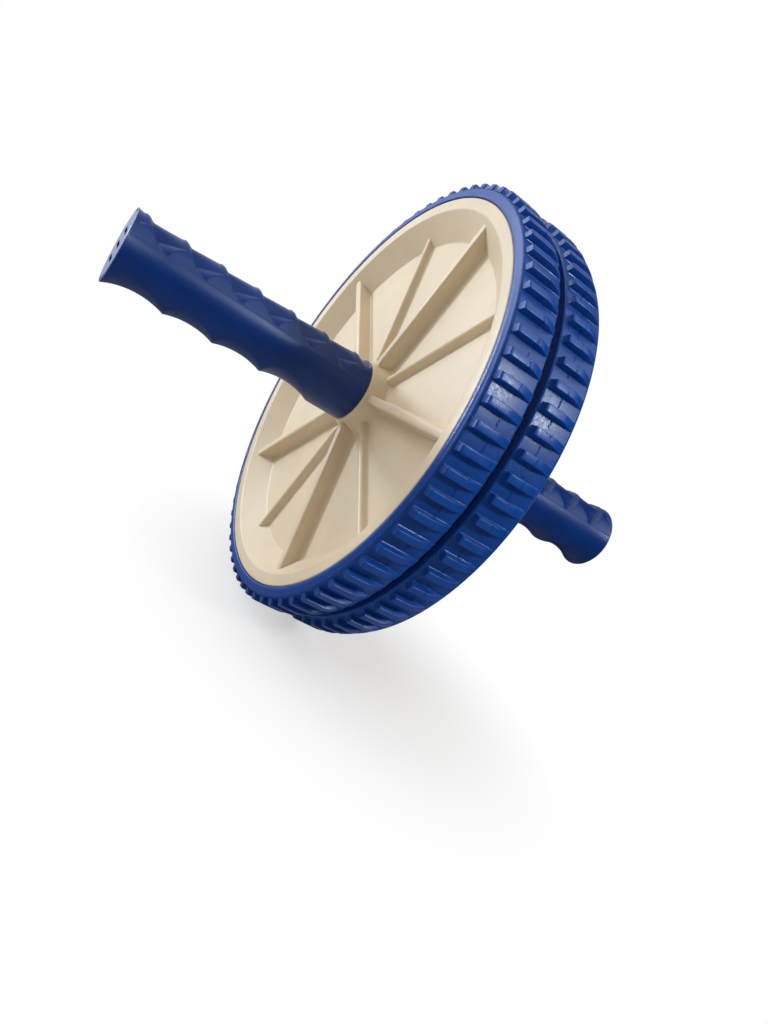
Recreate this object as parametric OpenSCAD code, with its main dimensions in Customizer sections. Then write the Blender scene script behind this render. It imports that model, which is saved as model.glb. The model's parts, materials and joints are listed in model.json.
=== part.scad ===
// Twin-wheel ab roller: two free-running wheels on one fixed axle,
// with a moulded hand grip on each side. The axle lies along X.

/* [Wheels] */
// Outer diameter over the tread lugs
wheel_d = 180; // [150:1:230]
// Width of one tyre
tyre_w = 16.9; // [14:0.1:24]
// Gap between the two tyres
tyre_gap = 2.6; // [2:0.1:6]
// Rubber thickness from the rim seat to the top of the lugs
tyre_t = 6.8; // [5:0.1:12]
// Height of the locating ring under the tyre
tongue_h = 1.5; // [0.5:0.1:3]
// Width of the locating ring under the tyre
tongue_w = 4.5; // [3:0.1:7]
// Width of the flat face of the wheel rim
rim_face_w = 5.2; // [3:0.1:8]
// Depth of the dish on the outer face
dish_h = 7.8; // [6.5:0.1:12]
// Width of the sloping dish wall
dish_wall_w = 9.5; // [5:0.1:14]
// Thickness of the wheel web
web_t = 4.4; // [2.5:0.1:6]

/* [Tread] */
// Number of lugs around each tyre
lug_n = 70; // [40:2:90]
// Height of a lug above the tread floor
lug_h = 2.6; // [1:0.1:3.5]
// Width of a lug at its top
lug_top_w = 3.4; // [2:0.1:4.5]
// Extra width of a lug at its foot, on each side
lug_draft = 0.5; // [0:0.1:0.8]
// Height of the raised bead beside the rim
bead_h = 0.3; // [0.1:0.1:0.8]

/* [Wheel ribs] */
// Number of tall ribs, with a low rib between each pair
rib_n = 5; // [3:1:8]
// Angle of the first tall rib from +Y
rib_phase = 25; // [0:1:119]
// Height of a tall rib above the web
tall_rib_h = 5.8; // [4:0.1:6.4]
// Thickness of a tall rib at its crest
tall_rib_t = 3.8; // [1.5:0.1:4.5]
// Height of a low rib above the web
low_rib_h = 2.9; // [1:0.1:3.6]
// Thickness of a low rib at its crest
low_rib_t = 2.6; // [1.2:0.1:3.5]

/* [Hub and axle] */
// Axle diameter
axle_d = 12; // [8:0.5:14]
// How far the axle end lies inside the handle end
axle_recess = 24; // [21:0.5:30]
// Outside radius of the hub collar at its mouth
collar_r = 13; // [12.5:0.1:16]
// How far the collar stops short of the rim face
collar_drop = 1; // [0.6:0.1:3]
// Wall of the bushes
bush_wall = 1.95; // [1.2:0.05:2.5]
// Length of a bush, flange included
bush_l = 6.6; // [4:0.1:7]
// Thickness of a bush flange
flange_t = 1.2; // [0.8:0.1:2]
// Radius of a bush flange
flange_r = 10.6; // [10:0.1:11.5]
// Radial running clearance on the axle
run_fit = 0.05; // [0.01:0.01:0.1]
// Side clearance of the turning parts
side_fit = 0.3; // [0.3:0.05:1]

/* [Handles] */
// Overall length of the roller
overall_l = 239; // [225:1:300]
// Grip radius next to the wheel
grip_r_in = 12.6; // [11.8:0.1:14]
// Grip radius at the outer end
grip_r_out = 14.1; // [13.5:0.1:17]
// Outside radius of the handle core
core_r = 9.3; // [8.5:0.1:9.6]
// Depth of the finger scallops
finger_d = 2.4; // [1:0.1:2.5]
// Spacing of the finger scallops
finger_p = 20.4; // [16:0.1:22]
// Lean of the finger scallops towards the cap, in degrees
finger_lean = 36; // [0:1:40]
// Spacing of the facets on top of the grip
facet_p = 14.9; // [10:0.1:16]
// Depth of the side facets
facet_d = 1.5; // [0.6:0.1:2]
// Depth of the crest notches
notch_d = 1.3; // [0.5:0.1:1.8]
// Thickness of the end cap
cap_t = 2; // [1.5:0.1:4]
// Radial clearance of the cap spigot in the core
cap_fit = 0.1; // [0.05:0.05:0.3]

/* [Fasteners] */
// Shank diameter of the end screws
screw_d = 6; // [4:0.5:6]
// Head radius of the end screws
screw_head_r = 5.2; // [4.5:0.1:5.6]
// Head height of the end screws
screw_head_h = 3.8; // [2.5:0.1:4.5]
// How far a screw reaches into the axle
screw_bite = 14; // [8:1:20]
// Outside radius of the screw washers
washer_r = 6.5; // [6:0.1:6.9]
// Thickness of the screw washers
washer_t = 1.2; // [0.8:0.1:2]
// Thickness of the core wall that the screw clamps
shoulder_t = 4.5; // [3:0.1:7]
// Radius of the pocket in the end of the core
pocket_r = 7.4; // [7:0.1:7.6]
// Room between the screw head and the cap spigot
spigot_room = 3.5; // [1:0.5:5]

/* [Hidden] */
$fn = 96;

// Radii of one wheel, from the tread inwards
tread_r = wheel_d / 2;
floor_r = tread_r - lug_h;
seat_r = tread_r - tyre_t;
face_r = seat_r - rim_face_w;
web_r = face_r - dish_wall_w;
inner_rim_r = face_r - 1.5;

// Stations along the axle, measured outwards from the middle
tyre_in = tyre_gap / 2;
tyre_out = tyre_in + tyre_w;
rim_in = tyre_in + side_fit;
rim_out = tyre_out;
web_out = rim_out - dish_h;
web_in = web_out - web_t;
hub_in = tyre_in + 0.5;
hub_out = rim_out - collar_drop;
seat_mid = (rim_in + rim_out) / 2;

// Fits round the axle
axle_r = axle_d / 2;
bush_in_r = axle_r + run_fit;
bush_out_r = bush_in_r + bush_wall;
spacer_r = flange_r - 1;
spacer_end = hub_in - side_fit;
thrust_in = hub_out + side_fit;
thrust_t = 1.2;
thrust_out = thrust_in + thrust_t;
thrust_r = core_r - 0.3;
hub_inner_r = flange_r + 4;

// Stations along a handle
grip_in = hub_out + side_fit + 0.1;
cap_out = overall_l / 2;
grip_out = cap_out - cap_t;
grip_l = grip_out - grip_in;
core_in = thrust_out;
axle_end = cap_out - axle_recess;
shoulder_out = axle_end + shoulder_t;
washer_out = shoulder_out + washer_t;
head_out = washer_out + screw_head_h;
spigot_in = head_out + spigot_room;
screw_r = screw_d / 2;
screw_in = axle_end - screw_bite;

// Grip pattern: the scallops and facets are counted from the wheel end
finger_first = grip_in + 26.4;
finger_n = 4;
finger_R = 21;
finger_off = 6.3;
facet_first = grip_in + 11.9;
facet_n = 6;
facet_turn = 22;
facet_land = 0.06;
notch_first = facet_first - facet_p / 2 + 1.9;
facet_off = facet_d / (1 - cos(31.5));
notch_off = notch_d / (1 - cos(21));
notch_half = 5;

function arc(cx, cy, r, a0, a1, n) =
    [for (i = [0:n]) let (a = a0 + (a1 - a0) * i / n) [cx + r * cos(a), cy + r * sin(a)]];

// Grip radius at a distance s from the middle of the roller: a straight
// taper with a soft flare over the last part before the cap
function grip_r(s) =
    let (t = (s - grip_in) / grip_l, flare = max(0, t - 0.86) / 0.14)
    grip_r_in + (grip_r_out - 0.7 - grip_r_in) * t + 0.7 * flare * flare;

// Lays a shape made round Z along the axle, on the right side
module right() rotate([90, 0, 90]) children();

// The same on the left side
module left() mirror([1, 0, 0]) right() children();

module both() {
    right() children();
    left() children();
}

// Solid of revolution from a list of [radius, station] points
module turned(points) rotate_extrude($fn = 180) polygon(points);

module ring(r_out, r_in, s0, s1) {
    turned([[r_in, s0], [r_out, s0], [r_out, s1], [r_in, s1]]);
}

// Radial rib standing on the web: sloping sides and a round crest
module rib(turn, height, thick) {
    rc = thick / 2;
    foot = rc + 0.7;
    rotate([0, 0, turn])
    translate([collar_r - 1, 0, 0])
    rotate([90, 0, 90])
    linear_extrude(face_r - 0.6 - collar_r)
    polygon(concat(
        [[-foot, web_out - 1], [foot, web_out - 1]],
        arc(0, web_out + height - rc, rc, 0, 180, 10)
    ));
}

// Moulded wheel: hub with collar, web, dished face, rim and ribs
module wheel_shape() {
    fillet = 2.4;
    edge = 2.2;
    groove_lo = seat_mid - tongue_w / 2;
    groove_hi = seat_mid + tongue_w / 2;
    difference() {
        union() {
            turned(concat(
                [[bush_out_r, hub_in], [hub_inner_r, hub_in], [hub_inner_r + 1, web_in]],
                [[inner_rim_r - 1, web_in], [inner_rim_r, rim_in], [seat_r, rim_in]],
                [[seat_r, groove_lo - 0.5], [seat_r - tongue_h, groove_lo]],
                [[seat_r - tongue_h, groove_hi], [seat_r, groove_hi + 0.5]],
                arc(seat_r - 0.5, rim_out - 0.5, 0.5, 0, 90, 4),
                arc(face_r + edge * 0.6, rim_out - edge, edge, 90, 140, 6),
                arc(web_r - fillet * 0.4, web_out + fillet, fillet, 320, 270, 6),
                arc(collar_r + 3.4, web_out + fillet, fillet, 270, 190, 6),
                [[collar_r + 0.4, web_out + fillet + 0.4]],
                arc(collar_r - 0.6, hub_out - 0.6, 0.6, 0, 90, 4),
                [[bush_out_r, hub_out]]
            ));
            for (k = [0:rib_n - 1]) {
                rib(rib_phase + 360 * k / rib_n, tall_rib_h, tall_rib_t);
                rib(rib_phase + 360 * (k + 0.5) / rib_n, low_rib_h, low_rib_t);
            }
        }
        translate([0, 0, hub_in - 1]) cylinder(r = bush_out_r, h = hub_out - hub_in + 2);
        translate([0, 0, hub_out - flange_t]) cylinder(r = flange_r, h = flange_t + 1);
        translate([0, 0, hub_in - 1]) cylinder(r = flange_r, h = flange_t + 1);
    }
}

// Toothed disc that gives the sides of the tread lugs; a gap between
// two lugs faces straight down, so the roller stands on a pair of lugs
module lug_star() {
    step = 360 / lug_n;
    r_lo = floor_r - 0.8;
    r_hi = tread_r + 0.6;
    w_top = lug_top_w / 2 - lug_draft * 0.6 / lug_h;
    w_foot = lug_top_w / 2 + lug_draft * (lug_h + 0.8) / lug_h;
    polygon([
        for (k = [0:lug_n - 1])
        let (a = 270 + step * (k + 0.5))
        for (p = [[r_lo, -w_foot], [r_hi, -w_top], [r_hi, w_top], [r_lo, w_foot]])
        [p[0] * cos(a) - p[1] * sin(a), p[0] * sin(a) + p[1] * cos(a)]
    ]);
}

// Rubber tyre: locating ring, bead, rounded shoulder and lugs
module tyre_shape() {
    tongue_lo = seat_mid - tongue_w / 2;
    tongue_hi = seat_mid + tongue_w / 2;
    shoulder = 1.7;
    wall = seat_r + 1.7;
    turned(concat(
        [[seat_r, tyre_in], [floor_r - 0.7, tyre_in], [floor_r, tyre_in + 0.7]],
        arc(floor_r - shoulder, tyre_out - shoulder - 0.2, shoulder, 0, 80, 6),
        [[wall + 0.6, tyre_out - 0.1], [wall + 0.3, tyre_out - 0.4], [wall, tyre_out - 0.1]],
        [[wall - 0.2, tyre_out + bead_h], [seat_r + 0.3, tyre_out + bead_h]],
        [[seat_r, tyre_out + bead_h - 0.3], [seat_r, tongue_hi + 0.5]],
        [[seat_r - tongue_h, tongue_hi], [seat_r - tongue_h, tongue_lo]],
        [[seat_r, tongue_lo - 0.5]]
    ));
    intersection() {
        translate([0, 0, tyre_in + 0.2]) linear_extrude(tyre_w - 0.4) lug_star();
        turned([
            [floor_r - 1.2, tyre_in + 0.2], [floor_r, tyre_in + 0.2],
            [tread_r - 0.8, tyre_in + 0.7], [tread_r - 0.2, tyre_in + 1.5],
            [tread_r, tyre_in + 3.6], [tread_r, tyre_out - 5.2],
            [tread_r - 0.2, tyre_out - 3.2], [tread_r - 0.9, tyre_out - 2],
            [floor_r, tyre_out - 1.1], [floor_r - 1.2, tyre_out - 1.1]
        ]);
    }
}

// Flanged bush with its flange at station s_flange, pressed into the hub;
// dir is 1 when the flange faces outwards and -1 when it faces the middle
module bush_shape(s_flange, dir) {
    s_tip = s_flange - dir * bush_l;
    s_step = s_flange - dir * flange_t;
    turned([
        [bush_in_r, s_flange], [flange_r, s_flange], [flange_r, s_step],
        [bush_out_r, s_step], [bush_out_r, s_tip], [bush_in_r, s_tip]
    ]);
}

// Plastic core that the axle is pressed into, under the soft grip
module core_shape() {
    difference() {
        translate([0, 0, core_in]) cylinder(r = core_r, h = grip_out - core_in);
        translate([0, 0, core_in - 1]) cylinder(r = axle_r, h = axle_end - core_in + 1);
        translate([0, 0, core_in]) cylinder(r = screw_r, h = grip_out - core_in);
        translate([0, 0, shoulder_out]) cylinder(r = pocket_r, h = grip_out - shoulder_out + 1);
    }
}

// Lower half of a ring with a round inner edge that cuts one finger
// scallop; the ring leans about its lowest point, towards the cap
module finger_cut(s) {
    ring_r = grip_r(s) - finger_d + finger_off + finger_R;
    translate([0, finger_off - ring_r, s])
    rotate([finger_lean, 0, 0])
    translate([0, ring_r, 0])
    rotate([0, 0, 180])
    rotate_extrude(angle = 180, $fn = 180)
    translate([ring_r, 0])
    circle(r = finger_R);
}

// Ring with a zigzag inner edge: n V cuts, depth deep, first one at s0,
// turned about a line that lies off the grip's own axis
module zigzag_cut(s0, n, depth, peak, off) {
    far = grip_r_out + off + 8;
    lo = s0 - facet_p / 2;
    hi = s0 + (n - 0.5) * facet_p;
    turned(concat(
        [[far, lo], [grip_r(lo) + off + peak, lo]],
        [for (k = [0:n - 1], h = [0, 1])
            let (s = s0 + (k + h / 2) * facet_p)
            [grip_r(s) + off + (h == 0 ? -depth : peak), s]],
        [[far, hi]]
    ));
}

// Soft grip: tapered sleeve, finger scallops underneath, a zigzag of
// facets on each shoulder and a row of notches along the crest
module grip_shape() {
    notch_peak = notch_d * (facet_p / 2 / notch_half - 1);
    difference() {
        turned(concat(
            [[core_r, grip_in]],
            arc(grip_r_in - 1.2, grip_in + 1.2, 1.2, 270, 360, 5),
            [for (i = [1:14]) let (s = grip_in + grip_l * i / 15) [grip_r(s), s]],
            [[grip_r_out, grip_out - 0.4], [grip_r_out - 0.4, grip_out], [core_r, grip_out]]
        ));
        for (k = [0:finger_n - 1]) finger_cut(finger_first + k * finger_p);
        for (side = [-1, 1])
            rotate([0, 0, side * facet_turn])
            translate([0, -facet_off, 0])
            zigzag_cut(facet_first, facet_n, facet_d, facet_land, facet_off);
        translate([0, -notch_off, 0])
            zigzag_cut(notch_first, facet_n + 1, notch_d, notch_peak, notch_off);
    }
}

// End cap: disc with a soft edge, hollow spigot and three short slots
module cap_shape() {
    spigot_r = pocket_r - cap_fit;
    cap_r = grip_r_out - 0.3;
    difference() {
        turned(concat(
            [[0, grip_out], [spigot_r - 1.6, grip_out], [spigot_r - 1.6, spigot_in]],
            [[spigot_r - 0.4, spigot_in], [spigot_r, spigot_in + 0.4]],
            [[spigot_r, grip_out], [cap_r, grip_out]],
            arc(cap_r - 0.7, cap_out - 0.7, 0.7, 0, 90, 4),
            [[0, cap_out]]
        ));
        for (y = [-6.5, 0, 6.5])
            translate([-0.6, y - 1.5, cap_out - 0.9]) cube([1.2, 3, 2]);
    }
}

// Screw with a hexagon socket, from its tip in the axle to its head
module screw_shape() {
    difference() {
        union() {
            translate([0, 0, screw_in]) cylinder(r = screw_r, h = washer_out - screw_in);
            translate([0, 0, washer_out]) cylinder(r = screw_head_r, h = screw_head_h);
        }
        translate([0, 0, head_out - 2.2]) cylinder(r = 2.8, h = 3, $fn = 6);
    }
}

module axle_rod() {
    color("silver") difference() {
        rotate([0, 90, 0]) cylinder(r = axle_r, h = 2 * axle_end, center = true);
        both() translate([0, 0, screw_in - 2]) cylinder(r = screw_r, h = screw_bite + 3);
    }
}

module centre_spacer() {
    color("dimgray") right() ring(spacer_r, axle_r, -spacer_end, spacer_end);
}

module left_wheel() color("cornsilk") left() wheel_shape();
module right_wheel() color("cornsilk") right() wheel_shape();
module left_tyre() color("royalblue") left() tyre_shape();
module right_tyre() color("royalblue") right() tyre_shape();
module left_inner_bush() color("dimgray") left() bush_shape(hub_in, -1);
module left_outer_bush() color("dimgray") left() bush_shape(hub_out, 1);
module right_inner_bush() color("dimgray") right() bush_shape(hub_in, -1);
module right_outer_bush() color("dimgray") right() bush_shape(hub_out, 1);
module left_thrust_washer() color("gray") left() ring(thrust_r, axle_r, thrust_in, thrust_out);
module right_thrust_washer() color("gray") right() ring(thrust_r, axle_r, thrust_in, thrust_out);
module left_handle_core() color("dimgray") left() core_shape();
module right_handle_core() color("dimgray") right() core_shape();
module left_grip() color("darkblue") left() grip_shape();
module right_grip() color("darkblue") right() grip_shape();
module left_end_cap() color("darkblue") left() cap_shape();
module right_end_cap() color("darkblue") right() cap_shape();
module end_screws() color("silver") both() screw_shape();
module screw_washers() color("silver") both() ring(washer_r, screw_r, shoulder_out, washer_out);

axle_rod();
centre_spacer();
left_wheel();
left_tyre();
left_inner_bush();
left_outer_bush();
right_wheel();
right_tyre();
right_inner_bush();
right_outer_bush();
left_thrust_washer();
right_thrust_washer();
left_handle_core();
left_grip();
left_end_cap();
right_handle_core();
right_grip();
right_end_cap();
end_screws();
screw_washers();
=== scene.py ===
"""Ab wheel roller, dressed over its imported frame.

The frame gives the bodies, the material slots and the ends of the handles.
This script adds what the CAD solids leave plain: the moulded wheels, the
lugged tyres, the soft grips, the end caps, their finishes, a pale floor, the
lights and the camera.
"""

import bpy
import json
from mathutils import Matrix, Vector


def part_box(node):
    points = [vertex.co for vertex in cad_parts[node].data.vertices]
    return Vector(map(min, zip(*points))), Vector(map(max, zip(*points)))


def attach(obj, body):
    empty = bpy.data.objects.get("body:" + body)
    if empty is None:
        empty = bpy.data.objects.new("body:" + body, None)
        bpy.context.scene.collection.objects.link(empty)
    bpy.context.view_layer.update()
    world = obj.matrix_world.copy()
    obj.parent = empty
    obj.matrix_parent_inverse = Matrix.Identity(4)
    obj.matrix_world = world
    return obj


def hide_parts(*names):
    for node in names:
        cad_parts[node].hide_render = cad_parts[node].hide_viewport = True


bl_info = {
    "name": "Ab wheel roller",
    "version": (1, 0, 0),
    "blender": (4, 5, 0),
    "location": "View3D > Sidebar > Roller",
    "description": "Builds the visible pieces of a twin-wheel ab roller",
    "category": "Add Mesh",
}

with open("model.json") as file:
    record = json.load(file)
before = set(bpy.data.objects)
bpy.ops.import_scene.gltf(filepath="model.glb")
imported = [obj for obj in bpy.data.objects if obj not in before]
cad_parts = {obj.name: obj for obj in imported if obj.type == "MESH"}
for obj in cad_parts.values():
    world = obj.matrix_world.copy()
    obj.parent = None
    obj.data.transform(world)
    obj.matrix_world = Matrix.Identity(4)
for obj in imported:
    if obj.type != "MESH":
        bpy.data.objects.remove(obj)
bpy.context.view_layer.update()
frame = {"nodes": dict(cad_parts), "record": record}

import json
import math

import bpy
from mathutils import Matrix, Vector

MM = 0.001
TAU = 2 * math.pi
# points nearer than this are one point, in metres
TOUCHING = 1e-6


def reach(node):
    """How far a right-hand CAD node reaches along the axle, in millimetres."""
    return round(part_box(node)[1][0] / MM, 2)


def srgb(code):
    """Turn a six-figure sRGB hex value into linear red, green and blue."""
    parts = [int(code[i:i + 2], 16) / 255 for i in (0, 2, 4)]
    return tuple(c / 12.92 if c <= 0.04045 else ((c + 0.055) / 1.055) ** 2.4
                 for c in parts)


# Settings

def length(name, text, value):
    """A size in metres, given here in millimetres."""
    return bpy.props.FloatProperty(name=name, description=text, default=value * MM,
                                   unit="LENGTH", subtype="DISTANCE", precision=5)


def colour(name, text, code):
    """A colour, given here as sRGB hex."""
    return bpy.props.FloatVectorProperty(name=name, description=text, size=3, min=0, max=1,
                                         default=srgb(code), subtype="COLOR")


class RollerSizes(bpy.types.PropertyGroup):
    """Sizes of the visible pieces; the frame gives where grip and roller end."""
    tread_r: length("Tread radius", "Radius over the tyre lugs", 90)
    seat_r: length("Rim radius", "Radius where the tyre sits on the wheel", 83.2)
    face_r: length("Rim face inner radius", "Where the flat rim face turns into the dish", 78.0)
    web_r: length("Dish floor radius", "Where the dish wall meets the web", 68.5)
    tyre_in: length("Inner tyre edge", "Distance of a tyre's inner edge from the middle", 1.3)
    tyre_out: length("Outer tyre edge", "Distance of the rim face from the middle", 18.2)
    dish: length("Dish depth", "Depth of the dish below the rim face", 7.8)
    collar_r: length("Collar radius", "Radius of the hub collar at its mouth", 13)
    tall_rib: length("Tall rib height", "Height of a tall rib above the web", 5.8)
    low_rib: length("Low rib height", "Height of a low rib above the web", 2.9)
    lug_h: length("Lug height", "Height of a tread lug", 2.6)
    lug_w: length("Lug width", "Width of a tread lug at its top", 2.6)
    grip_in: length("Grip start", "Distance of the grip's wheel end from the middle", 17.6)
    grip_out: length("Grip end", "Distance of the grip's cap end from the middle",
                     reach("right_grip"))
    grip_small: length("Grip radius at the wheel", "Radius of the grip's wheel end", 12.65)
    grip_large: length("Grip radius at the cap", "Radius of the grip's cap end", 14.2)
    scallop: length("Scallop depth", "Depth of a finger scallop", 2.5)
    pocket: length("Pocket depth", "Depth of a pocket on the top of the grip", 2.5)
    cap_out: length("End of the roller", "Distance of the cap's face from the middle",
                    reach("right_end_cap"))
    lug_count: bpy.props.IntProperty(name="Lugs", description="Lugs round one tyre",
                                     default=70, min=40, max=90)
    rib_count: bpy.props.IntProperty(name="Tall ribs", description="Tall ribs on one wheel",
                                     default=5, min=3, max=8)
    rib_turn: bpy.props.FloatProperty(name="Rib turn", description="Angle of the first tall rib",
                                      default=math.radians(25), subtype="ANGLE", unit="ROTATION")


class RollerColours(bpy.types.PropertyGroup):
    """Colours of the finishes."""
    ivory: colour("Ivory", "Moulded wheels", "DEC9A6")
    tyre: colour("Tyre blue", "Rubber tyres", "043C88")
    grip: colour("Grip blue", "Soft hand grips", "002A6B")
    cap: colour("Cap blue", "End caps", "0A3A80")
    floor: colour("Floor", "Floor under the roller", "C8C7C5")


# Modelling

def deselect():
    """Leave nothing selected, so that operators touch only the new piece."""
    if bpy.context.object and bpy.context.object.mode != "OBJECT":
        bpy.ops.object.mode_set(mode="OBJECT")
    bpy.ops.object.select_all(action="DESELECT")


def activate(piece):
    """Make one piece the only selected one."""
    deselect()
    piece.select_set(True)
    bpy.context.view_layer.objects.active = piece


def edit_all(piece):
    """Open one piece in edit mode with everything selected."""
    activate(piece)
    bpy.ops.object.mode_set(mode="EDIT")
    bpy.ops.mesh.select_all(action="SELECT")


def start_point(name, place):
    """A plane merged to one vertex in edit mode: the start of an outline."""
    deselect()
    bpy.ops.mesh.primitive_plane_add(size=0.01, location=(0, 0, 0))
    piece = bpy.context.object
    piece.name = piece.data.name = name
    bpy.ops.object.mode_set(mode="EDIT")
    bpy.ops.mesh.select_all(action="SELECT")
    bpy.ops.mesh.merge(type="CENTER")
    bpy.ops.transform.translate(value=place)
    return piece


def draw_outline(name, points):
    """Draw a closed line by extruding one vertex from each point to the next."""
    points = [Vector(p) for p in points]
    piece = start_point(name, points[0])
    for a, b in zip(points, points[1:] + points[:1]):
        bpy.ops.mesh.extrude_region_move(TRANSFORM_OT_translate={"value": b - a})
    bpy.ops.mesh.select_all(action="SELECT")
    bpy.ops.mesh.remove_doubles(threshold=TOUCHING)
    return piece


def revolve(name, profile, steps):
    """Spin a [radius, station] outline, in millimetres, round the axle."""
    piece = draw_outline(name, [(s * MM, r * MM, 0) for r, s in profile])
    bpy.ops.mesh.select_all(action="SELECT")
    bpy.ops.mesh.spin(steps=steps, angle=TAU, center=(0, 0, 0), axis=(1, 0, 0))
    bpy.ops.mesh.select_all(action="SELECT")
    bpy.ops.mesh.remove_doubles(threshold=TOUCHING)
    bpy.ops.mesh.normals_make_consistent(inside=False)
    bpy.ops.object.mode_set(mode="OBJECT")
    return piece


def arc(cr, cs, radius, start, end, steps):
    """Points of an arc in the [radius, station] plane, angles in degrees."""
    angles = [math.radians(start + (end - start) * i / steps) for i in range(steps + 1)]
    return [(cr + radius * math.cos(a), cs + radius * math.sin(a)) for a in angles]


def finish_with(piece, kind, **settings):
    """Add one modifier and apply it."""
    activate(piece)
    modifier = piece.modifiers.new(kind.title(), kind)
    for key, value in settings.items():
        setattr(modifier, key, value)
    bpy.ops.object.modifier_apply(modifier=modifier.name)


def join(pieces, name):
    """Join pieces into the first one."""
    deselect()
    for piece in pieces:
        piece.select_set(True)
    bpy.context.view_layer.objects.active = pieces[0]
    bpy.ops.object.join()
    pieces[0].name = pieces[0].data.name = name
    return pieces[0]


def face_out(piece):
    """Point every face of a piece outwards."""
    edit_all(piece)
    bpy.ops.mesh.normals_make_consistent(inside=False)
    bpy.ops.object.mode_set(mode="OBJECT")


def copy_piece(piece, name, mirrored=False):
    """Copy a piece with its own mesh; a mirrored copy swaps left and right."""
    twin = bpy.data.objects.new(name, piece.data.copy())
    twin.data.name = name
    bpy.context.scene.collection.objects.link(twin)
    if mirrored:
        edit_all(twin)
        bpy.ops.transform.mirror(constraint_axis=(True, False, False),
                                 center_override=(0, 0, 0))
        bpy.ops.mesh.flip_normals()
        bpy.ops.object.mode_set(mode="OBJECT")
    return twin


def smooth(piece, angle):
    """Shade a piece smooth wherever it turns by less than an angle in degrees."""
    activate(piece)
    bpy.ops.object.shade_smooth_by_angle(angle=math.radians(angle))


def dress(piece, material, body, node):
    """Give a finished piece its material and body, and hide the node it stands in for."""
    piece.data.materials.clear()
    piece.data.materials.append(material)
    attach(piece, body)
    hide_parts(node)


# Materials

def add_node(tree, kind, links=None, values=None, out=0, into=None, **settings):
    """Add a shader node with its settings, socket values and incoming links,
    link one of its outputs into a socket, and give that output back."""
    node = tree.nodes.new("ShaderNode" + kind)
    for key, value in settings.items():
        setattr(node, key, value)
    for socket, value in (values or {}).items():
        node.inputs[socket].default_value = value
    for socket, source in (links or {}).items():
        tree.links.new(source, node.inputs[socket])
    if into is not None:
        tree.links.new(node.outputs[out], into)
    return node.outputs[out]


def new_material(name, sockets):
    """A material whose Principled shader has these plain sockets, with its
    tree, the shader and the piece's own coordinates."""
    material = bpy.data.materials.new(name)
    material.use_nodes = True
    tree = material.node_tree
    shader = tree.nodes["Principled BSDF"]
    for key, value in sockets.items():
        shader.inputs[key].default_value = value
    return material, tree, shader, add_node(tree, "TexCoord", out="Object")


def lumps(size_mm, **values):
    """Noise values for lumps about size_mm across."""
    return {"Scale": 1 / (size_mm * MM), "Detail": 2.0, **values}


def span(low, high, start=0.3, end=0.7):
    """Map Range values that carry start to end onto low to high. Noise keeps
    mostly to the start and end that are used when none are given."""
    return {"From Min": start, "From Max": end, "To Min": low, "To Max": high}


def relief(depth_mm):
    """Bump values for a pattern that stands depth_mm proud."""
    return {"Strength": 1.0, "Distance": depth_mm * MM}


def tones(rgb, dark, light):
    """Mix values for a darker and a lighter version of a linear colour."""
    return {6 + i: (*(min(1.0, c * factor) for c in rgb), 1)
            for i, factor in enumerate((dark, light))}


def coat(tree, shader, cloud, two_tones, gloss, roughness, skin, depth_mm):
    """Link three patterns into a shader: cloud mixes the two tones, gloss
    varies the roughness, and skin stands depth_mm proud."""
    share = add_node(tree, "MapRange", {"Value": cloud}, span(0, 1))
    add_node(tree, "Mix", {0: share}, two_tones, out=2, into=shader.inputs["Base Color"],
             data_type="RGBA")
    add_node(tree, "MapRange", {"Value": gloss}, span(*roughness),
             into=shader.inputs["Roughness"])
    add_node(tree, "Bump", {"Height": skin}, relief(depth_mm), into=shader.inputs["Normal"])


def moulded_abs(rgb):
    """The wheels' finish."""
    # ABS, injection moulded in a finely etched mould: the eye gets an even
    # ivory with a soft sheen and a trace of flow marks in its gloss
    material, tree, shader, place = new_material(
        "moulded_ivory_abs", {"IOR": 1.54, "Specular IOR Level": 0.28})
    flow = add_node(tree, "TexNoise", {"Vector": place}, lumps(28, Detail=3.0, Distortion=0.6))
    gloss = add_node(tree, "TexNoise", {"Vector": place}, lumps(6, Detail=3.0))
    # etched grain of about 0.1 mm, drawn at 0.7 mm so that it shows
    etch = add_node(tree, "TexNoise", {"Vector": place}, lumps(0.7))
    coat(tree, shader, flow, tones(rgb, 0.95, 1.03), gloss, (0.34, 0.44), etch, 0.012)
    return material


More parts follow.
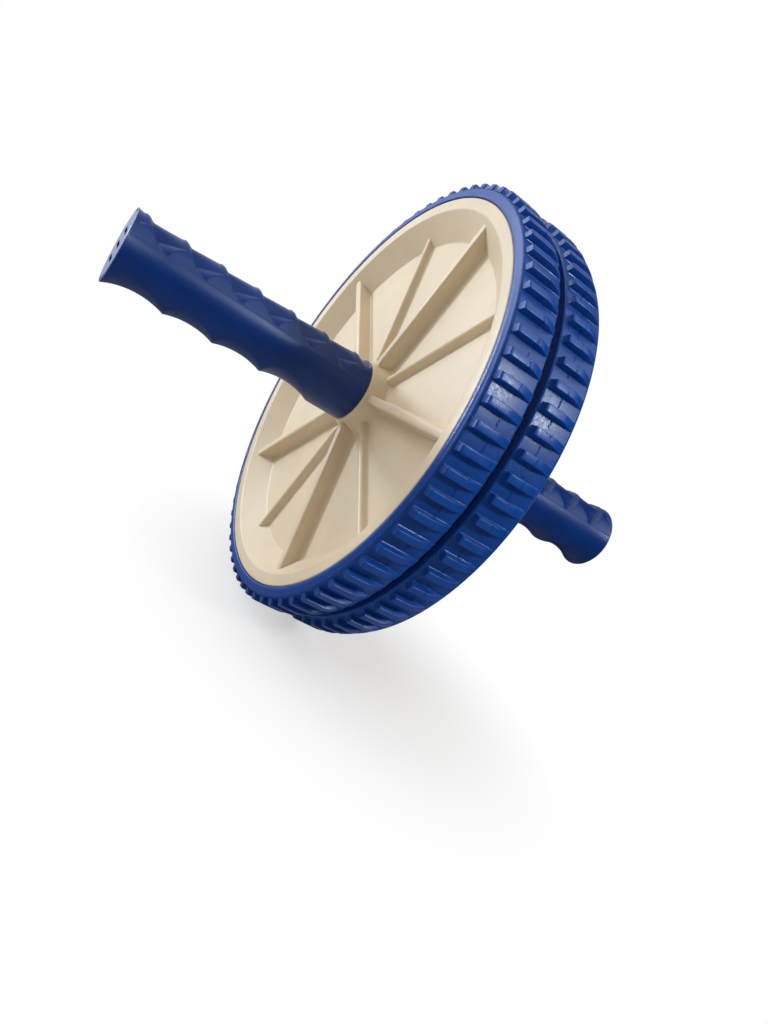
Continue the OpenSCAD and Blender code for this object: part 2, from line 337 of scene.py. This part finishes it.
def tyre_rubber(rgb, side, tread_mm, seam_mm):
    """A tyre's finish; tread_mm is the radius of its lug tops, and seam_mm the
    place of its mould line along the axle."""
    # solid rubber, moulded in two halves: the eye gets deep blue with a dull
    # speckled sheen, lighter in patches on the lug tops than on the floor
    # between the lugs, and a faint broken line
    material, tree, shader, place = new_material(
        "moulded_blue_rubber_" + side,
        {"IOR": 1.5, "Specular IOR Level": 0.42, "Specular Tint": (0.85, 0.93, 1.0, 1.0)})
    along, y, z = add_node(tree, "SeparateXYZ", {"Vector": place}).node.outputs
    # distance from the axle, to tell the lug tops from the floor between the lugs
    y2 = add_node(tree, "Math", {0: y, 1: y}, operation="MULTIPLY")
    r2 = add_node(tree, "Math", {0: z, 1: z, 2: y2}, operation="MULTIPLY_ADD")
    radius = add_node(tree, "Math", {0: r2}, operation="SQRT")
    top = add_node(tree, "MapRange", {"Value": radius},
                   span(0, 1, (tread_mm - 1.1) * MM, (tread_mm - 0.1) * MM))
    blotch = add_node(tree, "TexNoise", {"Vector": place}, lumps(5, Detail=4.0, Roughness=0.6))
    patches = add_node(tree, "MapRange", {"Value": blotch}, span(0.2, 1.0, 0.35, 0.65))
    # the lug tops are made lighter in patches than the floor between the lugs
    lighter_tops = add_node(tree, "Math", {0: top, 1: patches}, operation="MULTIPLY")
    add_node(tree, "Mix", {0: lighter_tops}, tones(rgb, 1, 1.15), out=2,
             into=shader.inputs["Base Color"], data_type="RGBA")
    specks = add_node(tree, "TexNoise", {"Vector": place}, lumps(0.9, Detail=3.0, Roughness=0.7))
    add_node(tree, "MapRange", {"Value": specks}, span(0.28, 0.42, 0.38, 0.62),
             into=shader.inputs["Roughness"])
    skin = add_node(tree, "Bump", {"Height": specks}, relief(0.03))
    # the mould line wanders a little across the width and fades in and out
    drift = add_node(tree, "TexNoise", {"Vector": place}, lumps(7, Detail=4.0))
    wander = add_node(tree, "MapRange", {"Value": drift}, span(-0.9 * MM, 0.9 * MM, 0.2, 0.8))
    wandered = add_node(tree, "Math", {0: along, 1: wander}, operation="ADD")
    off_line = add_node(tree, "Math", {0: wandered}, {1: seam_mm * MM}, operation="SUBTRACT")
    away = add_node(tree, "Math", {0: off_line}, operation="ABSOLUTE")
    line = add_node(tree, "MapRange", {"Value": away}, span(1, 0, 0.08 * MM, 0.3 * MM))
    gaps = add_node(tree, "TexNoise", {"Vector": place}, lumps(4))
    broken = add_node(tree, "MapRange", {"Value": gaps}, span(0, 1, 0.46, 0.56))
    mark = add_node(tree, "Math", {0: line, 1: broken}, operation="MULTIPLY")
    add_node(tree, "Bump", {"Height": mark, "Normal": skin}, relief(-0.25),
             into=shader.inputs["Normal"])
    return material


def grip_elastomer(rgb):
    """The grips' finish."""
    # soft PVC, moulded over the core in a spark-eroded mould: the eye gets a
    # fine grain that spreads the light into a broad satin sheen
    material, tree, shader, place = new_material(
        "moulded_blue_soft_pvc",
        {"IOR": 1.5, "Specular IOR Level": 0.45, "Specular Tint": (0.75, 0.87, 1.0, 1.0)})
    cloud = add_node(tree, "TexNoise", {"Vector": place}, lumps(12, Detail=3.0))
    # grain of about 0.15 mm, drawn at 0.35 mm so that it shows
    skin = add_node(tree, "TexNoise", {"Vector": place}, lumps(0.35, Detail=3.0, Roughness=0.65))
    coat(tree, shader, cloud, tones(rgb, 0.93, 1.07), skin, (0.27, 0.37), skin, 0.045)
    return material


def cap_plastic(rgb):
    """The end caps' finish."""
    # polypropylene from a plain mould: the eye gets a smoother face than the
    # grip's, with a faint haze
    material, tree, shader, place = new_material("moulded_blue_polypropylene", {"IOR": 1.49})
    haze = add_node(tree, "TexNoise", {"Vector": place}, lumps(5, Detail=3.0))
    skin = add_node(tree, "TexNoise", {"Vector": place}, lumps(0.5))
    coat(tree, shader, haze, tones(rgb, 0.95, 1.06), haze, (0.30, 0.36), skin, 0.003)
    return material


def zinc_steel():
    """The finish of the axle rod, the screws and their washers."""
    # drawn steel, zinc plated: the eye gets bright metal with fine lines
    # along the rod and a patchy haze in the plating
    material, tree, shader, place = new_material("zinc_plated_steel", {"Metallic": 1.0})
    drawn = add_node(tree, "Mapping", {"Vector": place}, {"Scale": (0.06, 1, 1)})
    lines = add_node(tree, "TexNoise", {"Vector": drawn}, lumps(0.3))
    haze = add_node(tree, "TexNoise", {"Vector": place}, lumps(6, Detail=3.0))
    plating = {6: (*srgb("B4B8BE"), 1), 7: (*srgb("CFD2D6"), 1)}
    coat(tree, shader, haze, plating, lines, (0.24, 0.40), lines, 0.01)
    return material


def black_nylon():
    """The finish of the bushes, washers, spacer and cores."""
    # moulded and tumbled nylon: the eye gets near black with a dull, slightly
    # mottled skin
    material, tree, shader, place = new_material("moulded_black_nylon", {"IOR": 1.53})
    mottle = add_node(tree, "TexNoise", {"Vector": place}, lumps(1.2, Detail=4.0))
    black = {6: (*srgb("1B1B1D"), 1), 7: (*srgb("2A2A2C"), 1)}
    coat(tree, shader, mottle, black, mottle, (0.42, 0.6), mottle, 0.02)
    return material


# Wheels

def shaped_bar(name, section, stations, placed):
    """A soft-edged bar made from one grid. section lists (distance across,
    height) from one side to the other, stations lists (place along, share of
    the height, share of the width), and placed turns them into a point."""
    deselect()
    bpy.ops.mesh.primitive_grid_add(x_subdivisions=len(stations) - 1,
                                    y_subdivisions=len(section) - 1, size=1)
    bar = bpy.context.object
    bar.name = bar.data.name = name
    for v in bar.data.vertices:
        along, tall, wide = stations[round((v.co.x + 0.5) * (len(stations) - 1))]
        across, height = section[round((v.co.y + 0.5) * (len(section) - 1))]
        # a foot that lies below the surface stays there where the bar runs out
        height = min(height, height * tall)
        v.co = Vector(placed(along, across * wide, height)) * MM
    return bar


def both_ways(section):
    """Mirror half a section, given from the foot up to the crest."""
    return [(-w, h) for w, h in section] + [(w, h) for w, h in reversed(section) if w > 0]


def wheel_rib(z, low, turn):
    """One rib of the right wheel: drafted sides, a fillet at its foot and a
    rounded inner end; a tall one has a flat top, a low one a round top."""
    if low:
        half, tall, edge, gap = 1.25, z.low_rib / MM, 1.1, 2.4
    else:
        half, tall, edge, gap = 1.7, z.tall_rib / MM, 0.8, -0.2
    foot = [(1.35, -0.12), (0.75, 0.05), (0.42, 0.3), (0.25, 0.8)]
    section = [(half + out, height) for out, height in foot] + [(half + 0.05, tall - edge)]
    section += [(half - edge + edge * math.cos(math.radians(a)),
                 tall - edge + edge * math.sin(math.radians(a))) for a in (25, 45, 65, 90)]
    section += [(0, tall + 0.03)]
    start, end = z.collar_r / MM + gap, z.face_r / MM - 0.9
    nose = [(0, 0.02, 0.35), (0.12, 0.55, 0.5), (0.45, 0.8, 0.74), (1.0, 0.95, 0.92), (2.0, 1, 1)]
    stations = [(start + away, share, wide) for away, share, wide in nose]
    stations += [((start + end) / 2, 1, 1), (end, 1, 1)]
    web = (z.tyre_out - z.dish) / MM
    rib = shaped_bar("rib", both_ways(section), stations,
                     lambda along, across, height: (web + height, along, across))
    rib.data.transform(Matrix.Rotation(turn, 4, "X"))
    return rib


class ROLLER_OT_wheels(bpy.types.Operator):
    """Mould both wheels: hub, web, dish, rim and ribs in one skin"""
    bl_idname = "roller.wheels"
    bl_label = "Wheels"

    def execute(self, context):
        z, colours = context.scene.roller_sizes, context.scene.roller_colours
        seat, face, web_r = z.seat_r / MM - 0.1, z.face_r / MM, z.web_r / MM
        inner, rim = z.tyre_in / MM + 0.3, z.tyre_out / MM
        web, collar = rim - z.dish / MM, z.collar_r / MM
        # the hub's mouth, its bore, and the recess of a bush's flange
        mouth, bore, recess_r, recess = rim - 0.75, 8.2, 10.8, 1.6
        back, hub_in = web - 4.4, inner + 0.2
        # rounds of the rim's edge, the dish and the collar's foot and mouth
        edge, bend, foot, lip = 0.6, 1.6, 1.5, 0.5
        profile = [(bore, inner + recess), (recess_r, inner + recess), (recess_r, hub_in),
                   (14.6, hub_in), (15.6, back), (face - 2.5, back), (face - 1.5, inner),
                   (seat, inner), (seat, rim - edge)]
        profile += arc(seat - edge, rim - edge, edge, 0, 90, 5)
        profile += [(face + 2.6, rim)]
        profile += arc(face + 1.0, rim - bend, bend, 90, 130, 8)
        profile += arc(web_r - 0.2, web + bend, bend, 310, 270, 7)
        profile += [(web_r - 8, web), (45, web), (25, web)]
        profile += arc(collar + 4.0, web + foot, foot, 270, 200, 8)
        profile += arc(collar - lip, mouth - lip, lip, 0, 90, 5)
        profile += [(recess_r, mouth), (recess_r, mouth - recess), (bore, mouth - recess)]
        parts = [revolve("right_wheel_body", profile, steps=320)]
        for k in range(2 * z.rib_count):
            parts.append(wheel_rib(z, k % 2, z.rib_turn + TAU * k / (2 * z.rib_count)))
        wheel = join(parts, "right_wheel_moulding")
        face_out(wheel)
        smooth(wheel, 40)
        twin = copy_piece(wheel, "left_wheel_moulding", mirrored=True)
        finish = moulded_abs(colours.ivory)
        dress(wheel, finish, "right_wheel_unit", "right_wheel")
        dress(twin, finish, "left_wheel_unit", "left_wheel")
        return {"FINISHED"}


# Tyres

def lug_row(z, blunt_at_rim):
    """All the lugs of a right-hand tyre: one bar with crisp edges and a fillet
    at its foot, blunt at one end and fading at the other, copied round."""
    floor_r, tall, half = (z.tread_r - z.lug_h) / MM, z.lug_h / MM, z.lug_w / MM / 2
    foot = [(0.7, -0.2), (0.48, 0.02), (0.3, 0.2)]
    crest = [(0.1, 0.3), (0.04, 0.12), (-0.07, 0.03), (-0.25, 0)]
    section = [(half + out, height) for out, height in foot]
    section += [(half + out, tall - down) for out, down in crest]
    seam, rim = z.tyre_in / MM, z.tyre_out / MM
    if blunt_at_rim:
        start, end, toward = seam + 0.15, rim - 0.9, 1
    else:
        start, end, toward = rim - 1.3, seam + 0.9, -1
    faded = [(0, 0.0, 0.9), (0.3, 0.1, 0.94), (1.0, 0.24, 0.98), (2.4, 0.5, 1), (5, 0.88, 1),
             (7, 1, 1)]
    blunt = [(2.1, 1, 1), (1.0, 0.98, 1), (0.7, 0.9, 0.98), (0.35, 0.16, 0.92), (0, 0.0, 0.84)]
    stations = [(start + toward * away, share, wide) for away, share, wide in faded]
    stations += [(end - toward * away, share, wide) for away, share, wide in blunt]

    def placed(along, across, height):
        """A point of the bar, with its foot bent round the tyre."""
        return along, across, math.sqrt((floor_r + height) ** 2 - across ** 2)

    lug = shaped_bar("lug", both_ways(section), stations, placed)
    step = TAU / z.lug_count
    lug.data.transform(Matrix.Rotation(step / 2, 4, "X"))
    edit_all(lug)
    bpy.ops.mesh.spin(steps=z.lug_count - 1, dupli=True, angle=TAU - step,
                      center=(0, 0, 0), axis=(1, 0, 0))
    bpy.ops.object.mode_set(mode="OBJECT")
    return lug


class ROLLER_OT_tyres(bpy.types.Operator):
    """Mould both rubber tyres: carcass, bead and cross lugs"""
    bl_idname = "roller.tyres"
    bl_label = "Tyres"

    def execute(self, context):
        z, colours = context.scene.roller_sizes, context.scene.roller_colours
        seat, start, end = z.seat_r / MM, z.tyre_in / MM, z.tyre_out / MM
        tread, floor_r = z.tread_r / MM, (z.tread_r - z.lug_h) / MM
        profile = [(seat, start), (floor_r - 1.0, start)]
        profile += arc(floor_r - 0.8, start + 0.8, 0.8, 270, 360, 4)
        profile += arc(floor_r - 1.4, end - 1.6, 1.4, 0, 78, 6)
        # the bead stands a little proud of the rim face
        bead = [(2.35, -0.12), (2.05, 0.1), (0.75, 0.16), (0.4, 0.08), (0.16, -0.2), (0.05, -4)]
        profile += [(seat + up, end + out) for up, out in bead]
        carcass = revolve("right_tyre_carcass", profile, steps=280)
        # both tyres are the same moulding, so both have lugs blunt on their left
        spare = copy_piece(carcass, "spare_carcass")
        tyre = join([carcass, lug_row(z, blunt_at_rim=False)], "right_tyre_moulding")
        other = join([spare, lug_row(z, blunt_at_rim=True)], "mirrored_tyre")
        for piece in (tyre, other):
            face_out(piece)
            smooth(piece, 38)
        twin = copy_piece(other, "left_tyre_moulding", mirrored=True)
        bpy.data.objects.remove(other)
        # the mould line lies a little nearer the gap than a tyre's middle
        seam = 8.6
        right = tyre_rubber(colours.tyre, "right", tread, seam)
        left = tyre_rubber(colours.tyre, "left", tread, -seam)
        dress(tyre, right, "right_wheel_unit", "right_tyre")
        dress(twin, left, "left_wheel_unit", "left_tyre")
        return {"FINISHED"}


# Grips

def ease(low, high, value):
    """Smooth step from 0 at low to 1 at high."""
    t = min(1.0, max(0.0, (value - low) / (high - low)))
    return t * t * (3 - 2 * t)


def soft_min(a, b, blend):
    """Smaller of two values, rounded where they meet."""
    h = max(blend - abs(a - b), 0.0) / blend
    return min(a, b) - h * h * blend / 4


def grip_radius(z, s):
    """Plain radius of the grip at a station: a taper with a flared end."""
    flare_at, flare = 0.86, 0.7
    t = (s - z.grip_in / MM) / ((z.cap_out - z.grip_in) / MM)
    late = max(0.0, t - flare_at) / (1 - flare_at)
    small, large = z.grip_small / MM, z.grip_large / MM
    return small + (large - flare - small) * t + flare * late * late


def pocket_depth(z, s, side):
    """Depth of the row of pockets on the top of the grip; side is the angle
    from the crest in degrees. Each pocket starts at a sharp ridge that bends
    towards the wheel on its way down, falls along a steep wall, and then
    rises gently to the next ridge; it ends in a V above the crease."""
    # distances along the grip, and the angle of the crease below the pockets
    pitch, first, wall, level, crease = 15.17, z.grip_in / MM + 6.0, 1.9, 1.2, 58.0
    # how far the ridges bend, and the angle by which they have bent so far
    bend, bent_at = 7.0, 56
    ridge = first - bend * min(side / bent_at, 1.05) ** 2.5
    q = (ridge - s) % pitch
    # a pocket is shallow at the crest, and its lower edge runs up to the V's
    # other arm as its floor rises
    shallow, vee, flank = 0.36, 30, 0.13
    deep = z.pocket / MM * (shallow + (1 - shallow) * ease(4, 34, side))
    rise = (q - wall) / (pitch - level - wall)
    edge = crease - vee * max(rise, 0)
    depth = max(0, min(deep * q / wall, deep * (1 - rise), flank * (edge - side)))
    # a bead before each ridge near the crest, and a finer one along it
    bead = 0.35 * math.exp(-((q - pitch + level) / 0.7) ** 2) * (1 - ease(6, 24, side))
    ridge_bead = math.exp(-(min(q, pitch - q) / 0.45) ** 2)
    bead += 0.12 * ridge_bead * (1 - ease(crease - 8, crease, side))
    step = 0.2 * (1 - ease(crease, crease + 1.6, side))
    begun = ease(first - 1, first + 0.5, s + q)
    ended = ease(z.cap_out / MM - 2.6, z.cap_out / MM - 1.4, s)
    return (depth - bead) * (begun * (1 - ended)) + step


def scallop_radius(z, s, low):
    """Radius left by the nearest finger scallop; low is the angle from the
    underside in radians. The scallops lean towards the cap."""
    count, first, pitch = 4, z.grip_in / MM + 26.4, 20.4
    bend, offset, lean = 21.0, 5.6, math.radians(36)
    best = math.inf
    for k in range(count):
        centre = first + pitch * k
        floor_r = grip_radius(z, centre) - z.scallop / MM
        inside = (floor_r + offset) ** 2 - (offset * math.sin(low)) ** 2
        r = -offset * math.cos(low) + math.sqrt(inside)
        rise = floor_r - r * math.cos(low)
        away = (s - centre - math.tan(lean) * max(rise, 0)) * math.cos(lean)
        if abs(away) < bend:
            best = min(best, r + bend - math.sqrt(bend * bend - away * away))
    return best


class ROLLER_OT_grips(bpy.types.Operator):
    """Mould both soft grips with finger scallops and crest pockets"""
    bl_idname = "roller.grips"
    bl_label = "Grips"

    def execute(self, context):
        z, colours = context.scene.roller_sizes, context.scene.roller_colours
        start, end = z.grip_in / MM, z.cap_out / MM - 0.1
        small, large = z.grip_small / MM, z.grip_large / MM
        bore, edge, rows = 9.4, 0.6, 300
        profile = [(bore, start), (small - 0.7, start)]
        profile += arc(small - edge, start + edge, edge, 280, 350, 4)
        first, last = start + 0.8, end - 0.3
        body = [first + (last - first) * i / rows for i in range(rows + 1)]
        profile += [(grip_radius(z, s), s) for s in body]
        # the mouth's rim, and the seat of the end cap inside it
        mouth = [(0.02, 0.15), (0.15, 0), (0.75, 0), (0.8, 0.1)]
        profile += [(large - inward, end - down) for inward, down in mouth]
        profile += [(large - 0.85, z.grip_out / MM), (bore, z.grip_out / MM)]
        grip = revolve("right_grip_moulding", profile, steps=216)
        # only the outer skin is shaped, and its scallops lie below the flank
        flank, skin_r, blend = 95, 10.4, 0.12
        for v in grip.data.vertices:
            s, plain = v.co.x / MM, math.hypot(v.co.y, v.co.z) / MM
            if plain < skin_r or not start + 1.0 < s < last:
                continue
            psi = math.degrees(math.atan2(v.co.z, v.co.y))
            crest = abs((psi + 90) % 360 - 180)
            r = plain - pocket_depth(z, s, crest)
            if crest > flank:
                r = soft_min(r, scallop_radius(z, s, math.radians(180 - crest)), blend)
            v.co.y *= r / plain
            v.co.z *= r / plain
        smooth(grip, 42)
        twin = copy_piece(grip, "left_grip_moulding", mirrored=True)
        finish = grip_elastomer(colours.grip)
        dress(grip, finish, "axle_and_handles", "right_grip")
        dress(twin, finish, "axle_and_handles", "left_grip")
        return {"FINISHED"}


# End caps

class ROLLER_OT_end_caps(bpy.types.Operator):
    """Mould both end caps: a flat disc with three short slots"""
    bl_idname = "roller.end_caps"
    bl_label = "End caps"

    def execute(self, context):
        z, colours = context.scene.roller_sizes, context.scene.roller_colours
        start, end = z.grip_out / MM, z.cap_out / MM
        radius = z.grip_large / MM - 1.05
        # the hollow spigot behind the disc, and the disc's rounded edge
        hollow_r, spigot_r, spigot, chamfer, edge = 5.7, 7.3, 8.9, 0.4, 0.45
        pole = 0.001
        profile = [(pole, start + 0.1), (hollow_r, start + 0.1), (hollow_r, start - spigot),
                   (spigot_r - chamfer, start - spigot), (spigot_r, start - spigot + chamfer),
                   (spigot_r, start + 0.05), (radius - 0.3, start + 0.05),
                   (radius - 0.05, start + 0.3)]
        profile += arc(radius - edge, end - edge, edge, 0, 90, 5)
        profile += [(radius - 1.2, end), (pole, end)]
        cap = revolve("right_end_cap_moulding", profile, steps=128)
        slot_pitch, slot_round, slot_size = 5.4, 0.5, (3.2, 9, 2.0)
        cutters = []
        for k in (-1, 0, 1):
            deselect()
            bpy.ops.mesh.primitive_cube_add(size=1, scale=[side * MM for side in slot_size],
                                            location=(end * MM, 0, k * slot_pitch * MM))
            cutter = bpy.context.object
            bpy.ops.object.transform_apply(location=True, rotation=False, scale=True)
            finish_with(cutter, "BEVEL", width=slot_round * MM, segments=3)
            cutters.append(cutter)
        slots = join(cutters, "slot_cutters")
        finish_with(cap, "BOOLEAN", operation="DIFFERENCE", object=slots, solver="EXACT")
        bpy.data.objects.remove(slots)
        smooth(cap, 35)
        twin = copy_piece(cap, "left_end_cap_moulding", mirrored=True)
        finish = cap_plastic(colours.cap)
        dress(cap, finish, "axle_and_handles", "right_end_cap")
        dress(twin, finish, "axle_and_handles", "left_end_cap")
        return {"FINISHED"}


# Running gear

class ROLLER_OT_running_gear(bpy.types.Operator):
    """Finish the axle, bushes, washers, cores and screws that the CAD shapes"""
    bl_idname = "roller.running_gear"
    bl_label = "Running gear"

    def execute(self, context):
        finishes = {"steel": zinc_steel(), "black_plastic": black_nylon()}
        for part in frame["record"]["subparts"]:
            finish = finishes.get(part["material_slot"])
            if finish:
                node = frame["nodes"][part["node"]]
                node.data.materials.clear()
                node.data.materials.append(finish)
        return {"FINISHED"}


# Stage

COOL, PLAIN = (0.87, 0.98, 1.18), (1, 1, 1)
# name, place in metres, power in watts, width in metres and colour of each lamp
LAMPS = (
    ("key_light", (-0.72, 0.69, 0.03), 4.2, 0.12, COOL),
    ("key_fill", (-0.66, 0.56, 0.48), 4.6, 0.6, COOL),
    ("front_light", (0.46, -0.73, 0.68), 6.6, 0.2, PLAIN),
    ("top_light", (0.38, -0.30, 0.99), 4.4, 1.0, PLAIN),
)

# The camera, in metres and as directions in the roller's frame. It is tilted,
# because the roller of the photograph leans and this one stands upright.
CAMERA_PLACE = (-0.1422, -0.29196, 0.044425)
CAMERA_RIGHT = (0.8125701, -0.1793683, 0.5545780)
CAMERA_UP = (-0.4273213, 0.4637459, 0.7761033)
CAMERA_BACK = (-0.3963916, -0.8676213, 0.3001782)
CAMERA_LENS, CAMERA_SHIFT = 28.443, 0.0918


def area_light(name, place, power, size, colour):
    """A square soft light that faces the roller."""
    deselect()
    bpy.ops.object.light_add(type="AREA", location=place)
    lamp = bpy.context.object
    lamp.name = name
    lamp.data.energy, lamp.data.size, lamp.data.color = power, size, colour
    lamp.rotation_mode = "QUATERNION"
    lamp.rotation_quaternion = (-Vector(place)).to_track_quat("-Z", "Y")


def background_rays(tree):
    """Two outputs that are 1 for glossy rays, and for camera or transmission
    rays."""
    path = add_node(tree, "LightPath").node.outputs
    seen = add_node(tree, "Math", {0: path["Is Camera Ray"], 1: path["Is Transmission Ray"]},
                    operation="MAXIMUM")
    return path["Is Glossy Ray"], seen


def facing(tree, aim, direction):
    """How far each background direction agrees with a given one, from -1 to 1."""
    return add_node(tree, "VectorMath", {0: aim}, {1: Vector(direction).normalized()},
                    out="Value", operation="DOT_PRODUCT")


def pale_floor(rgb, level):
    """The floor's finish; level is the floor's height in metres."""
    # matt card: the eye gets a plain pale floor that keeps the roller's
    # shadow, with painted shade on a spot beside the tyres, and fades to
    # plain white away from it
    material, tree, shader, place = new_material(
        "matt_pale_floor", {"Roughness": 0.9, "Specular IOR Level": 0.0})
    cloud = add_node(tree, "TexNoise", {"Vector": place}, lumps(40))
    add_node(tree, "Mix", {0: cloud}, tones(rgb, 0.995, 1), out=2,
             into=shader.inputs["Base Color"], data_type="RGBA")
    # the camera's white: part of it at a spot beside the tyres, all of it
    # 0.11 m away; the floor round the spot is painted darker as a contact
    # shadow, on top of the real shadow that it keeps
    painted_shadow_spot, kept = (0.04, -0.02, level), 0.45
    apart = add_node(tree, "VectorMath", {0: place}, {1: painted_shadow_spot}, out="Value",
                     operation="DISTANCE")
    # painted shadow: less white round the spot, so the floor there is darker even where nothing
    # shades it
    painted_shadow_fade = add_node(tree, "MapRange", {"Value": apart}, span(kept, 1, 0.015, 0.11))
    # glossy rays see the floor dim under and beside the roller, and bright
    # far behind it
    around = add_node(tree, "VectorMath", {0: place}, out="Value", operation="LENGTH")
    under = add_node(tree, "MapRange", {"Value": around}, span(0.22, 0.0, 0.13, 0.24))
    depth = add_node(tree, "SeparateXYZ", {"Vector": place}, out="Y")
    behind = add_node(tree, "MapRange", {"Value": depth}, span(0, 0.9, 0.14, 0.4))
    gleam = add_node(tree, "Math", {0: under, 1: behind}, operation="MAXIMUM")
    glossy, seen = background_rays(tree)
    strength = add_node(tree, "Mix", {0: glossy, 3: gleam}, {2: 1.0})
    white = add_node(tree, "Emission", {"Strength": strength}, {"Color": (1, 1, 1, 1)})
    share = add_node(tree, "Math", {0: seen, 1: painted_shadow_fade, 2: glossy}, operation="MULTIPLY_ADD")
    add_node(tree, "MixShader", {0: share, 1: shader.outputs[0], 2: white},
             into=tree.nodes["Material Output"].inputs["Surface"])
    return material


def white_cyclorama():
    """The surroundings. The camera sees them plain white. For the light on the
    roller, and for glossy rays, they are bright behind it and to its left, and
    a dark room in front of it."""
    world = bpy.data.worlds.new("white_cyclorama")
    world.use_nodes = True
    tree = world.node_tree
    back = tree.nodes["Background"]
    back.inputs["Color"].default_value = (1, 1, 1, 1)
    aim = add_node(tree, "TexCoord", out="Generated")
    mirrored = facing(tree, aim, (-0.55, 0.8, 0.25))
    room = add_node(tree, "MapRange", {"Value": mirrored}, span(0.0, 0.8, 0.1, 0.75))
    open_side = facing(tree, aim, (-0.8, 0.55, 0.2))
    soft = add_node(tree, "MapRange", {"Value": open_side}, span(0.08, 0.6, -0.5, 0.7))
    glossy, seen = background_rays(tree)
    lit = add_node(tree, "Mix", {0: glossy, 2: soft, 3: room})
    add_node(tree, "Math", {0: lit, 1: seen}, into=back.inputs["Strength"],
             operation="MAXIMUM")
    return world


class ROLLER_OT_stage(bpy.types.Operator):
    """Set the pale floor, the soft lights, the white surroundings and the camera"""
    bl_idname = "roller.stage"
    bl_label = "Stage"

    def execute(self, context):
        scene = context.scene
        z, colours = scene.roller_sizes, scene.roller_colours
        deselect()
        bpy.ops.mesh.primitive_plane_add(size=8, location=(0, 0, 0))
        floor = context.object
        floor.name = "floor"
        floor.data.transform(Matrix.Translation((0, 0, -z.tread_r)))
        floor.data.materials.append(pale_floor(colours.floor, -z.tread_r))
        scene.world = white_cyclorama()
        for lamp in LAMPS:
            area_light(*lamp)
        deselect()
        bpy.ops.object.camera_add(location=(0, 0, 0))
        camera = context.object
        camera.name = "camera"
        axes = Matrix((CAMERA_RIGHT, CAMERA_UP, CAMERA_BACK))
        camera.matrix_world = axes.transposed().to_4x4()
        camera.location = CAMERA_PLACE
        camera.data.sensor_width = 36
        camera.data.lens = CAMERA_LENS
        camera.data.shift_x = CAMERA_SHIFT
        scene.camera = camera
        scene.view_settings.view_transform = "Standard"
        return {"FINISHED"}


# Panel

STEPS = (ROLLER_OT_wheels, ROLLER_OT_tyres, ROLLER_OT_grips, ROLLER_OT_end_caps,
         ROLLER_OT_running_gear, ROLLER_OT_stage)


class ROLLER_PT_panel(bpy.types.Panel):
    """Sizes, colours and the steps that build the roller"""
    bl_idname = "ROLLER_PT_panel"
    bl_label = "Ab wheel roller"
    bl_space_type = "VIEW_3D"
    bl_region_type = "UI"
    bl_category = "Roller"

    def draw(self, context):
        column = self.layout.column()
        for group in (context.scene.roller_sizes, context.scene.roller_colours):
            for key in group.__annotations__:
                column.prop(group, key)
        for step in STEPS:
            column.operator(step.bl_idname)


CLASSES = (RollerSizes, RollerColours, *STEPS, ROLLER_PT_panel)


def register():
    for cls in CLASSES:
        bpy.utils.register_class(cls)
    bpy.types.Scene.roller_sizes = bpy.props.PointerProperty(type=RollerSizes)
    bpy.types.Scene.roller_colours = bpy.props.PointerProperty(type=RollerColours)


def unregister():
    del bpy.types.Scene.roller_sizes
    del bpy.types.Scene.roller_colours
    for cls in reversed(CLASSES):
        bpy.utils.unregister_class(cls)


def main():
    """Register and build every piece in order."""
    register()
    bpy.ops.roller.wheels()
    bpy.ops.roller.tyres()
    bpy.ops.roller.grips()
    bpy.ops.roller.end_caps()
    bpy.ops.roller.running_gear()
    bpy.ops.roller.stage()


if __name__ == "__main__":
    main()
